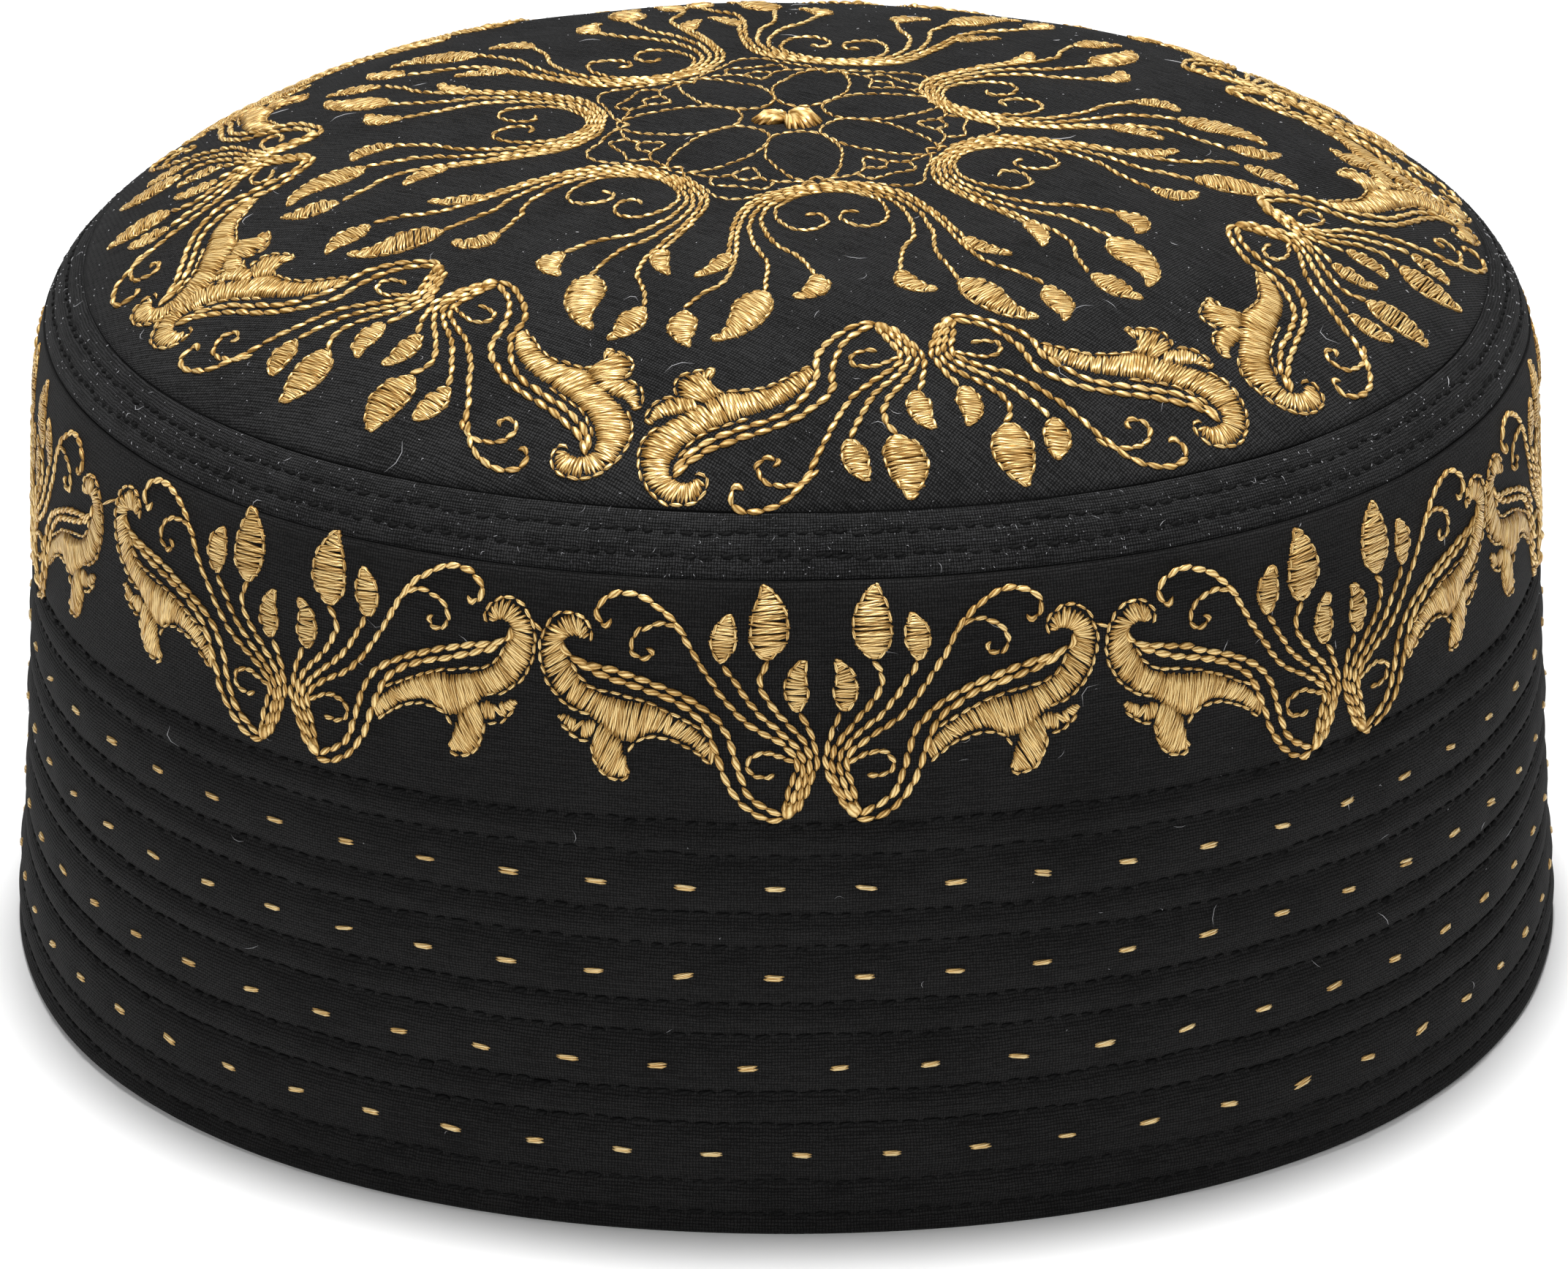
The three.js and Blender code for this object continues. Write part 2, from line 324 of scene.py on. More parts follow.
class Threads:
    """Threads of one kind on a chart, all with the same rings and section."""

    def __init__(self, shape, section):
        self.shape = np.array(shape, float)  # rings: place along, share of width, share of height
        self.section = np.array(section, float)  # across and up, going round the thread
        self.centre, self.half, self.low, self.high, self.size = [], [], [], [], []

    def add(self, start, end, half, high, low=-THREAD_SINK, middle=None):
        """Threads from start to end (n, 2), bowed through middle if it is given."""
        start, end = np.atleast_2d(start), np.atleast_2d(end)
        t = self.shape[:, 0][None, :, None]
        line = start[:, None] * (1 - t) + end[:, None] * t
        if middle is not None:
            bow = np.atleast_2d(middle) - (start + end) / 2
            line = line + bow[:, None] * 4 * t * (1 - t)
        count = len(line)
        self.centre.append(line)
        self.half.append(np.broadcast_to(half, count)[:, None] * self.shape[:, 1])
        self.high.append(np.broadcast_to(high, count)[:, None] * self.shape[:, 2])
        self.low.append(np.full((count, len(self.shape)), low))
        self.size.append(np.hypot(*(end - start).T))

    def build(self, place, jitter=0.05, within=None):
        """The vertices, faces and thread coordinates of all the threads, laid on a surface.
        Threads that pass the radius within are left out."""
        lists = (self.centre, self.half, self.high, self.low, self.size)
        centre, half, high, low, size = (np.concatenate(parts) for parts in lists)
        if within is not None:
            laid_out = place(centre, 0 * half)
            inside = (np.hypot(laid_out[..., 0], laid_out[..., 1]) < within).all(axis=1)
            kept = [part[inside] for part in (centre, half, high, low, size)]
            centre, half, high, low, size = kept
        count, rings = half.shape
        shift = draw.normal(0, jitter, (count, 1, 2))
        centre = centre + shift + draw.normal(0, jitter / 2, centre.shape)
        half = half * draw.uniform(*UNEVEN_WIDTH, (count, 1))
        high = high * draw.uniform(*UNEVEN_HEIGHT, (count, 1))
        way = np.gradient(centre, axis=1)
        way /= np.maximum(np.hypot(way[..., 0], way[..., 1]), 1e-9)[..., None]
        side = np.stack([way[..., 1], -way[..., 0]], -1)
        across, up = self.section.T
        spots = centre[:, :, None] + side[:, :, None] * (half[:, :, None] * across)[..., None]
        out = low[:, :, None] + (high - low)[:, :, None] * up
        vertices = place(spots, out).reshape(-1, 3)
        sides = len(self.section)
        first = (np.arange(count) * rings * sides)[:, None, None]
        lower = first + (np.arange(rings - 1) * sides)[None, :, None]
        upper = lower + sides
        k = np.arange(sides)[None, None, :]
        n = (k + 1) % sides
        corners = [lower + k, lower + n, upper + n, upper + k]
        quads = np.stack(np.broadcast_arrays(*corners), -1).reshape(-1, 4)
        begin = (first[:, :, 0] + np.arange(sides)[::-1]).reshape(-1, sides)
        finish = (first[:, :, 0] + (rings - 1) * sides + np.arange(sides)).reshape(-1, sides)
        whole = (count, rings, sides)
        round_share = np.broadcast_to(np.arange(sides) / (sides - 1), whole)
        length = (self.shape[:, 0][None, :] * size[:, None])[:, :, None]
        length = np.broadcast_to(length + draw.uniform(0, TONE_SPREAD, (count, 1, 1)), whole)
        flat = np.stack([round_share, length], -1).reshape(-1, 2)
        # Painted shade: each thread darkens towards its ends, where it dives into the cloth
        inner = 4 * self.shape[:, 0] * (1 - self.shape[:, 0])
        pairs = np.repeat(draw.uniform(0, 1, count // 2 + 1), 2)[:count, None, None]
        tone_and_end_shade = PAIR_SHARE * pairs + (1 - PAIR_SHARE) * np.sqrt(inner)[None, :, None]
        return vertices, [quads, begin, finish], flat, np.broadcast_to(tone_and_end_shade, whole).reshape(-1)


# A thread's section: across and up. Its shape: place along it, share of width, share of height
ROUND = ((-0.85, 0.0), (-0.95, 0.6), (0.0, 1.0), (0.95, 0.6), (0.85, 0.0))
FLAT = ((-0.9, 0.0), (-0.65, 0.85), (0.65, 0.85), (0.9, 0.0))
HAIR = ((-1, 0), (0, 1), (1, 0))
CHAIN_SHAPE = (
    (0, 0.15, 0.25), (0.2, 0.75, 0.8), (0.42, 1, 1), (0.64, 1, 1), (0.86, 0.7, 0.8), (1, 0.2, 0.3),
)
RUN_SHAPE = ((0, 0.35, 0.2), (0.25, 0.95, 0.9), (0.75, 1, 0.95), (1, 0.35, 0.2))
RUNNING_SHAPE = ((0, 0.35, 0.1), (0.2, 0.95, 0.85), (0.75, 1, 0.9), (1, 0.3, 0.1))
SATIN_SHAPE = ((0, 0.6, 0.25), (0.22, 1, 0.85), (0.78, 1, 0.85), (1, 0.6, 0.25))
KNOT_SHAPE = ((0, 0.7, 0.8), (0.3, 0.9, 1), (0.7, 1, 0.8), (1, 0.8, 0.1))
HAIR_SHAPE = ((0, 0.5, 0.6), (0.33, 1, 1), (0.67, 1, 1), (1, 0.4, 0.6))

SATIN_PAIR_SHIFT = 0.14  # neighbouring satin threads lie in pairs
SATIN_SETBACK = 0.1  # their ends lie this far inside the edge, or a share of their length
SATIN_SETBACK_SHARE = 0.2
SATIN_RAGGED = 0.2  # and come out again by up to this much
SATIN_FULL_LENGTH = 3.5  # a thread of this length has the full height
SATIN_HEIGHTS = (0.6, 1.2)


class Stitchwork:
    """The embroidery of one chart: chain stitch, fine running stitch and satin stitch."""

    def __init__(self):
        self.chains = Threads(CHAIN_SHAPE, ROUND)
        self.runs = Threads(RUN_SHAPE, FLAT)
        self.satins = Threads(SATIN_SHAPE, FLAT)

    def row(self, threads, points, step, half, high, slant, overlap):
        line, gone = curve(points)
        count = max(1, round(gone[-1] / step))
        edges = np.linspace(0, gone[-1], count + 1)
        start = along(line, gone, np.maximum(edges[:-1] - overlap, 0))
        end = along(line, gone, np.minimum(edges[1:] + overlap, gone[-1]))
        middle = along(line, gone, (edges[:-1] + edges[1:]) / 2)
        way = end - start
        way /= np.maximum(np.hypot(*way.T), 1e-9)[:, None]
        side = np.stack([way[:, 1], -way[:, 0]], -1)
        threads.add(start + side * slant, end - side * slant, half, high, middle=middle)

    def chain(self, points, step=1.75, half=0.36, high=0.42):
        self.row(self.chains, points, step, half, high, slant=0.12, overlap=0.1)

    def run(self, points, step=1.5, half=0.22, high=0.34, gap=0.14):
        self.row(self.runs, points, step, half, high, slant=0.04, overlap=-gap / 2)

    def satin(self, one, other, pitch=0.35, half=0.2, lift=0.5):
        """Threads laid side by side from one edge to the other, whose points match one by one."""
        one_line, one_gone = curve(one)
        other_line, other_gone = curve(other)
        gone = (one_gone + other_gone) / 2
        count = max(3, round(gone[-1] / pitch))
        where = (np.arange(count) + 0.5) / count * gone[-1]
        bundle = np.repeat(draw.normal(0, SATIN_PAIR_SHIFT, count // 2 + 1), 2)[:count]
        start = along(one_line, gone, where + bundle)
        end = along(other_line, gone, where - bundle)
        way = end - start
        size = np.maximum(np.hypot(*way.T), 1e-9)[:, None]
        short = np.minimum(SATIN_SETBACK_SHARE * size, SATIN_SETBACK)
        start = start + way / size * (short - draw.uniform(0, SATIN_RAGGED, (count, 1)))
        end = end - way / size * (short - draw.uniform(0, SATIN_RAGGED, (count, 1)))
        high = lift * np.clip(size[:, 0] / SATIN_FULL_LENGTH, *SATIN_HEIGHTS)
        self.satins.add(start, end, half, high)

    def leaf(self, one, other, pitch=0.38, lift=0.5):
        """A satin leaf between two edges, with a running stitch round it."""
        self.satin(one, other, pitch=pitch, lift=lift)
        self.run(drawn_in(one, other))
        self.run(drawn_in(other, one))


# The motif with two arms, used nine times on the band and seven times round the crown.
# Its right half, from the foot of the stems up.
MOTIF_STEMS = (
    ((2.8, 52.2), (1.2, 56), (0.5, 58.6), (1.1, 61.5), (2.3, 64.2)),
    ((3.4, 51.9), (1.9, 55.6), (1.3, 58.6), (2.4, 61.3), (5.3, 64.5), (7, 67.2), (6.8, 69.3),
     (6, 70.3)),
    ((4, 51.7), (2.7, 55.4), (2.1, 58.4), (3.6, 60.9), (7.6, 64.4), (10.5, 68.6), (11.2, 69.9)),
    ((15.6, 73.2), (17, 74.3), (19, 74.5), (21.4, 73.4), (22, 71.2), (20.6, 70.3), (19.5, 71.1),
     (20.2, 71.7)),
    ((3, 58.2), (6.3, 59.4), (8.3, 58.6), (8.3, 57), (6.6, 56.4), (5.4, 56.7)),
)
MOTIF_LEAVES = (  # left edge, right edge
    (((5.9, 70.5), (3.9, 72.7), (3.8, 75.8), (5.4, 78.4), (6.5, 79.1)),
     ((6.7, 70.5), (8.3, 72.6), (8.1, 75.8), (7.2, 78.2), (6.9, 79.1))),
    (((11.2, 70.1), (9.9, 72), (9.9, 74.4), (10.4, 75.8)),
     ((11.8, 70.1), (12.9, 72.2), (12.4, 74.4), (10.8, 75.8))),
    (((2.5, 64.3), (1.4, 66.2), (1.7, 68.6), (1.6, 70.4)),
     ((3.1, 64.3), (4.3, 66.4), (3.8, 69), (2.1, 70.5))),
)
TENDRIL_FOOT = ((4.4, 51.8), (3.7, 55), (2.9, 58.3), (4.6, 60.4), (9.5, 63.7))
FRIEZE_TENDRIL = (
    *TENDRIL_FOOT, (13.8, 69.5), (17, 74.8),
    (20.7, 77.4),
    (24, 77.6), (26.2, 75.8), (25.2, 73.9), (24.4, 74.7),
)
BORDER_TENDRIL = (
    *TENDRIL_FOOT, (13.8, 69.3), (17, 73.9),
    (20, 76.2),
    (23.4, 76.4), (25.5, 74.9), (24.9, 72.8), (23.9, 73.4),
)
# Each arm has two rows of chain stitch, satin between edges that match point by point, and running
# stitches round the satin.
FRIEZE_ARM_ROWS = (
    ((4.6, 51.6), (8.2, 54), (9.7, 57.2), (10.7, 61), (12.8, 63.9), (16.2, 66), (20.6, 67.7),
     (24.6, 68.8),
     (28, 69.5), (29.8, 70.5), (30, 71.6)),
    ((4.2, 51.2), (6.2, 51.1), (9, 52.9), (10.9, 55.6), (12.1, 59), (13.8, 62.8), (17.2, 65.4),
     (21, 66.7),
     (25.5, 68), (28.4, 69.3)),
)
FRIEZE_ARM_SATIN = (
    (((12.3, 59.4), (14.2, 61.6), (17.9, 63.9), (20.1, 64.8), (21.1, 64.9), (23.1, 65.1),
      (25.6, 65.7), (27.6, 66.7),
      (29.1, 69), (30.1, 71.2), (29.5, 72.3), (28.4, 72.5), (28, 72.2)),
     ((12.7, 57.9), (15.7, 60.3), (19.1, 61.4), (21.4, 60.5), (22.2, 60), (24.1, 60.7), (27, 63),
      (29.2, 64.2),
      (31.5, 66.5), (32.6, 69.8), (31.9, 73.2), (29, 74.9), (27.4, 73.8))),
    (((28.6, 72.6), (28.2, 72.5), (27.9, 72.3)), ((27.9, 74.2), (27.2, 73.4), (27.1, 72.3))),
    (((22.5, 56.4), (23, 58.8), (23.8, 61.1), (25.3, 62.2), (26, 61.5)),
     ((22.8, 55.7), (24.7, 55.7), (26.1, 56.8), (26.6, 59.2), (26.5, 60.1))),
    (((26.3, 62.1), (26.9, 62.4), (28.1, 62.1), (30, 62.9), (30.5, 62.6)),
     ((26.6, 61.1), (27.1, 60.2), (29.1, 60.8), (30.6, 62.3), (30.7, 62.5))),
)
FRIEZE_ARM_OUTLINES = (
    ((12.8, 57.7), (15.2, 59.6), (18.2, 60.8), (20.7, 60.6), (22, 59.7), (22.5, 58.8)),
    ((23, 57.2), (22.3, 56.3), (22.9, 55.4), (25.1, 55.8), (26.4, 57.7), (26.8, 59.6)),
    ((26.8, 63.1), (29.2, 63.8), (31.6, 66), (32.8, 69), (32.7, 72), (31.2, 74.6), (29, 75.1),
     (27.2, 74.1),
     (26.7, 72.8), (27, 71.9)),
    ((13.7, 61.9), (16.5, 63.4), (19.9, 64.9), (23.8, 65.9), (26.6, 66.4), (28.3, 67.8),
     (29.1, 69.3)),
    ((27.1, 59.8), (28.6, 60.1), (30.4, 61.7)),
)
BORDER_ARM_ROWS = (
    ((4.6, 51.6), (8.2, 54), (10.5, 58), (11.5, 62), (13.4, 64), (16.3, 65.7), (20, 66.6), (24, 67),
     (28.4, 67.9),
     (30.8, 69.4)),
    ((4.2, 51.2), (6.2, 51.1), (9.4, 53.2), (12, 56.3), (12.9, 59.9), (15, 62.8), (17.9, 64.8),
     (21.9, 65.5),
     (25.6, 65.9), (28.8, 67.1), (30.7, 68.8)),
)
BORDER_ARM_SATIN = (
    (((13, 59.2), (14.7, 61.4), (17.3, 63), (20.5, 63.7), (23, 64), (24.6, 64.2), (26.4, 64.6),
      (28.2, 65.2),
      (29.8, 66.3), (31, 67.8), (31.1, 69.2), (30.4, 70.1), (29.3, 70.6), (28.6, 70.4)),
     ((13.1, 57.8), (15.6, 59.1), (18.4, 60.3), (21.5, 60.2), (23.7, 59.6), (26.2, 60.5),
      (28.5, 61.3), (30.8, 62.1),
      (33, 63.8), (33.8, 66.5), (33.6, 69.4), (31.9, 72), (29.2, 72.9), (27.7, 71.2))),
    (((23.7, 59.6), (24.5, 60.1), (25.4, 60.2), (25.8, 60)),
     ((24.8, 55.3), (27.1, 55.6), (27.8, 57.8), (27.4, 58.5))),
    (((25, 56.1), (24.7, 56.7), (24.3, 56.3), (23.5, 55.6)),
     ((25.7, 55.2), (24.8, 55.1), (24, 55.2), (23.4, 55.3))),
    (((26, 61.4), (28.4, 61), (30, 60.7), (31.4, 61.2)),
     ((26.8, 59.1), (28.9, 58.3), (30.8, 59.1), (31.9, 60.7))),
)
BORDER_ARM_OUTLINES = (
    ((13, 57.6), (15.5, 58.8), (18.4, 60), (21, 59.9), (23.5, 59.2), (24.3, 57.3), (23.3, 55.4),
     (24.8, 54.9),
     (27.3, 55.3), (28.1, 57), (28, 58.1)),
    ((28.4, 58.2), (30, 58.1), (31.6, 59.4), (32.1, 60.6), (31.4, 61.4)),
    ((31, 61.9), (33.1, 63.4), (34.1, 66.4), (33.9, 69.3), (32.5, 71.9), (30.5, 73), (28.6, 72.9),
     (27.4, 71.4),
     (27.7, 70.1), (28.6, 69.9)),
    ((21.5, 64.2), (24.5, 64.6), (27.2, 65.1), (30, 67.1)),
)
FRIEZE_ARM = (FRIEZE_TENDRIL, FRIEZE_ARM_ROWS, FRIEZE_ARM_SATIN, FRIEZE_ARM_OUTLINES)
BORDER_ARM = (BORDER_TENDRIL, BORDER_ARM_ROWS, BORDER_ARM_SATIN, BORDER_ARM_OUTLINES)


def motif(arm):
    work = Stitchwork()
    tendril, rows, satins, outlines = arm
    for flip in (lambda points: points, mirrored):
        for stem in MOTIF_STEMS[:3]:
            work.chain(flip(stem))
        work.chain(flip(tendril), step=1.8)
        for curl in MOTIF_STEMS[3:]:
            work.chain(flip(curl), step=1.4, half=0.3, high=0.36)
        for row in rows:
            work.chain(flip(row), step=2.0, half=0.41, high=0.45)
        for edges in MOTIF_LEAVES:
            work.leaf(flip(edges[0]), flip(edges[1]))
        for edges in satins:
            work.satin(flip(edges[0]), flip(edges[1]), half=0.225)
        for outline in outlines:
            work.run(flip(outline))
        foot = flip([(4.25, 51.2), (3.35, 53.2)])
        work.chains.add(foot[:1], foot[1:], half=0.75, high=0.7)
    return work


VINE_STEMS = (
    ((0, 25.2), (3.3, 26.1), (7, 29), (8.7, 34), (8.3, 40), (6.2, 44.2), (5, 48.9)),
    ((0, 24.7), (3.6, 25.5), (7.8, 28.6), (10.2, 34), (10.7, 40), (10.1, 45), (11.5, 51.6)),
    ((0, 24.2), (3.9, 24.9), (8.6, 28.1), (11.5, 34.3), (13.7, 43.6), (15.7, 48.1), (18.8, 50.6),
     (21.3, 53.2)),
    ((0, 23.7), (4.2, 24.3), (9.3, 27.7), (12.3, 34.7), (14, 41.5)),
)
VINE_CURL = (
    (0, 25.7), (3, 26.6), (6, 29.3), (6.6, 33.2), (5.3, 36.3), (2.8, 36.8), (0.9, 34.6),
    (1.5, 32.3), (3.2, 32.6),
)
VINE_LEAVES = (  # inner edge, outer edge
    (((4.7, 49), (3.7, 51.3), (4.4, 53.1), (6.5, 54.1), (8.5, 53.7)),
     ((5.2, 49), (6.2, 50.2), (6.9, 51.6), (7.6, 52.6), (8.6, 53.3))),
    (((11.3, 51.7), (11, 54.3), (12.2, 57), (14.5, 59.2), (17, 60.3), (19.2, 60.2)),
     ((11.8, 51.6), (13.8, 51.8), (15.7, 53.6), (16.6, 56.2), (17.6, 58.4), (19.3, 59.9))),
    (((21.2, 53.8), (20.2, 55.9), (20.8, 58), (21.6, 59.3), (21.9, 60.6)),
     ((21.6, 53.6), (23.4, 55.3), (24, 57.5), (23.2, 59.5), (22.1, 60.7))),
    (((13.8, 41.6), (14, 43.7), (15.5, 45.4), (17.6, 46.2), (18.9, 46.2)),
     ((14.2, 41.4), (15.5, 42), (16.9, 43.7), (18, 45), (19, 45.9))),
)


def vine():
    work = Stitchwork()
    for flip in (lambda points: points, mirrored):
        for stem in VINE_STEMS:
            work.chain(flip(stem), step=1.6, half=0.31, high=0.38)
        work.chain(flip(VINE_CURL), step=1.35, half=0.26, high=0.34)
        for inner, outer in VINE_LEAVES:
            work.leaf(flip(inner), flip(outer))
    return work


PETAL = ((0, 5.3), (2.5, 6), (4, 8.5), (4.6, 11.5), (4, 15), (3, 18), (1.3, 20.3), (0.2, 20.6))
WING_LINES = (
    ((8.4, 17), (7.2, 19.8), (5.6, 21.5), (3.6, 23.3), (1.9, 25.3), (0, 26)),
    ((7.4, 18.6), (5.6, 19.2), (3.6, 19.4), (1.9, 18.5), (0.9, 16.8), (0, 15.9)),
    ((3.9, 19.5), (3.4, 21.8), (1.9, 21.9), (0, 21.6)),
    ((1.8, 18.4), (0.7, 19.4), (-0.6, 19.7)),
)


def fine_lines(lines):
    work = Stitchwork()
    for flip in (lambda points: points, mirrored):
        for line in lines:
            work.run(flip(line), step=1.6, half=0.23, high=0.3, gap=0.02)
    return work


# Meshes
def gather(parts):
    """Joins several builds into one set of vertices, faces and thread coordinates."""
    vertices, groups, flats, tone_and_end_shades, count = [], [], [], [], 0
    for spots, faces, flat, tone_and_end_shade in parts:
        vertices.append(spots)
        flats.append(flat)
        tone_and_end_shades.append(tone_and_end_shade)
        groups.extend(face + count for face in faces)
        count += len(spots)
    return np.concatenate(vertices), groups, np.concatenate(flats), np.concatenate(tone_and_end_shades)


def closed_round(corners):
    """Chart corners of faces (n, k, 2), with the faces that join a chart's two ends kept narrow."""
    across = corners[..., 0]
    middle = across.mean(axis=1, keepdims=True)
    wide = np.ptp(across, axis=1, keepdims=True) > CHART_RADIUS * math.pi
    moved = np.where(wide & (across < middle), across + 2 * math.pi * CHART_RADIUS, across)
    return np.stack([moved, corners[..., 1]], -1)


def mesh_object(name, vertices, groups, flat, tone_and_end_shade=None):
    """A mesh in metres from vertices in millimetres and groups of faces with equal corner counts."""
    mesh = bpy.data.meshes.new(name)
    corners = np.concatenate([group.reshape(-1) for group in groups]).astype(np.int32)
    counts = np.concatenate([np.full(len(group), group.shape[1]) for group in groups])
    starts = np.concatenate([[0], np.cumsum(counts)[:-1]]).astype(np.int32)
    mesh.vertices.add(len(vertices))
    mesh.vertices.foreach_set("co", (vertices * MM).astype(np.float32).reshape(-1))
    mesh.loops.add(len(corners))
    mesh.loops.foreach_set("vertex_index", corners)
    mesh.polygons.add(len(counts))
    mesh.polygons.foreach_set("loop_start", starts)
    mesh.polygons.foreach_set("use_smooth", np.full(len(counts), True))
    mesh.update(calc_edges=True)
    layer = mesh.uv_layers.new(name="chart")
    spread = np.concatenate([closed_round(flat[group]).reshape(-1, 2) for group in groups])
    layer.data.foreach_set("uv", spread.astype(np.float32).reshape(-1))
    if tone_and_end_shade is not None:
        shade = mesh.attributes.new("tone_and_end_shade", "FLOAT", "POINT")
        shade.data.foreach_set("value", tone_and_end_shade.astype(np.float32))
    mesh.validate()
    piece = bpy.data.objects.new(name, mesh)
    bpy.context.scene.collection.objects.link(piece)
    return piece


def dress(name, build, material, slot, *nodes):
    piece = mesh_object(name, *build)
    piece.data.materials.append(material)
    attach(piece, "root")
    if nodes:
        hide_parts(*nodes)


def grid(rows, columns, closed_rows=False):
    """Quads of a sheet of rows that each close on themselves, seen from outside."""
    row_count = rows if closed_rows else rows - 1
    r = np.arange(row_count)[:, None]
    c = np.arange(columns)[None, :]
    below, right = (r + 1) % rows, (c + 1) % columns
    corners = [r * columns + c, r * columns + right, below * columns + right, below * columns + c]
    return np.stack(np.broadcast_arrays(*corners), -1).reshape(-1, 4)


# Materials
def shader(name, roughness, **values):
    material = bpy.data.materials.new(name)
    material.use_nodes = True
    tree = material.node_tree
    surface = tree.nodes["Principled BSDF"]
    surface.inputs["Roughness"].default_value = roughness
    for socket, value in values.items():
        surface.inputs[socket.replace("_", " ")].default_value = value
    return material, tree, surface


def node(tree, kind, inputs=(), **settings):
    made = tree.nodes.new(kind)
    for name, value in settings.items():
        setattr(made, name, value)
    for key, value in dict(inputs).items():
        if isinstance(value, bpy.types.NodeSocket):
            tree.links.new(value, made.inputs[key])
        else:
            made.inputs[key].default_value = value
    return made


def calc(tree, operation, *values):
    return node(tree, "ShaderNodeMath", dict(enumerate(values)), operation=operation).outputs[0]


def ramp(tree, value, *stops):
    made = node(tree, "ShaderNodeValToRGB", {"Fac": value})
    made.color_ramp.elements[0].position, made.color_ramp.elements[0].color = stops[0]
    made.color_ramp.elements[1].position, made.color_ramp.elements[1].color = stops[-1]
    for place, colour in stops[1:-1]:
        made.color_ramp.elements.new(place).color = colour
    return made.outputs["Color"]


def bump(tree, surface, height, strength, distance):
    made = node(tree, "ShaderNodeBump", {"Height": height, "Strength": strength, "Distance": distance})
    tree.links.new(made.outputs["Normal"], surface.inputs["Normal"])


def chart_of(tree):
    return node(tree, "ShaderNodeUVMap", uv_map="chart").outputs[0]


def split_chart(tree, chart):
    return node(tree, "ShaderNodeSeparateXYZ", {0: chart}).outputs


def tone_and_end_shade_of(tree):
    return node(tree, "ShaderNodeAttribute", attribute_name="tone_and_end_shade").outputs["Fac"]


def noise(tree, vector, scale, detail, output="Fac"):
    inputs = {"Vector": vector, "Scale": scale, "Detail": detail}
    return node(tree, "ShaderNodeTexNoise", inputs).outputs[output]


def mixed(tree, share, one, other, **settings):
    return node(tree, "ShaderNodeMixRGB", {"Fac": share, 1: one, 2: other}, **settings).outputs[0]


def weighted(tree, *parts):
    """The sum of values, each times its share."""
    total = None
    for value, share in parts:
        part = calc(tree, "MULTIPLY", value, share)
        total = part if total is None else calc(tree, "ADD", total, part)
    return total


def crest_of(tree, value):
    return calc(tree, "SINE", calc(tree, "MULTIPLY", value, math.pi))


def strands(tree, split, around, lengthwise):
    """Twisted strands: 0 between two of them and 1 on top of one."""
    lay = weighted(tree, (split[0], around), (split[1], lengthwise))
    return calc(tree, "ABSOLUTE", crest_of(tree, lay))


WEAVE = 0.36  # one thread of the cloth to the next
# Bump heights, in metres
WEAVE_BUMP = 0.00014
GOLD_BUMP = 0.00012
BLACK_BUMP = 0.0001
# The cloth's unevenness: how far the weave wanders, and the scales of its noises
WANDER_SHARE = 0.4
WANDER_SCALE = 0.5
SLUB_STRETCH = (0.25, 2.6, 1)
FINE_SCALE = 2.2
SLOW_SCALE = 0.07
MOTTLE_POWER = 1.8
DUST_SCALE = 2.6
DUST_EDGE = 0.05
DUST_SHARE = 0.5
DUST = (0.09, 0.09, 0.1, 1)
# Where the darkest and the lightest colour of a thread stand on its shade
CLOTH_STOPS = (0.25, 0.95)
GOLD_STOPS = (0.45, 0.8, 1.0)


def plain_weave(tree, chart):
    """Height of a plain weave, from 0 between the threads to 1 where one lies on top."""
    split = split_chart(tree, chart)
    counts = [calc(tree, "MULTIPLY", split[k], 1 / WEAVE) for k in (0, 1)]
    warp, weft = (crest_of(tree, calc(tree, "FRACT", count)) for count in counts)
    whole = [calc(tree, "FLOOR", count) for count in counts]
    turn = calc(tree, "FLOORED_MODULO", calc(tree, "ADD", *whole), 2.0)

    def on_top(main, cross):
        return calc(tree, "MULTIPLY", main, calc(tree, "MULTIPLY_ADD", cross, 0.5, 0.5))

    other_turn = calc(tree, "SUBTRACT", 1.0, turn)
    return weighted(tree, (on_top(warp, weft), other_turn), (on_top(weft, warp), turn))


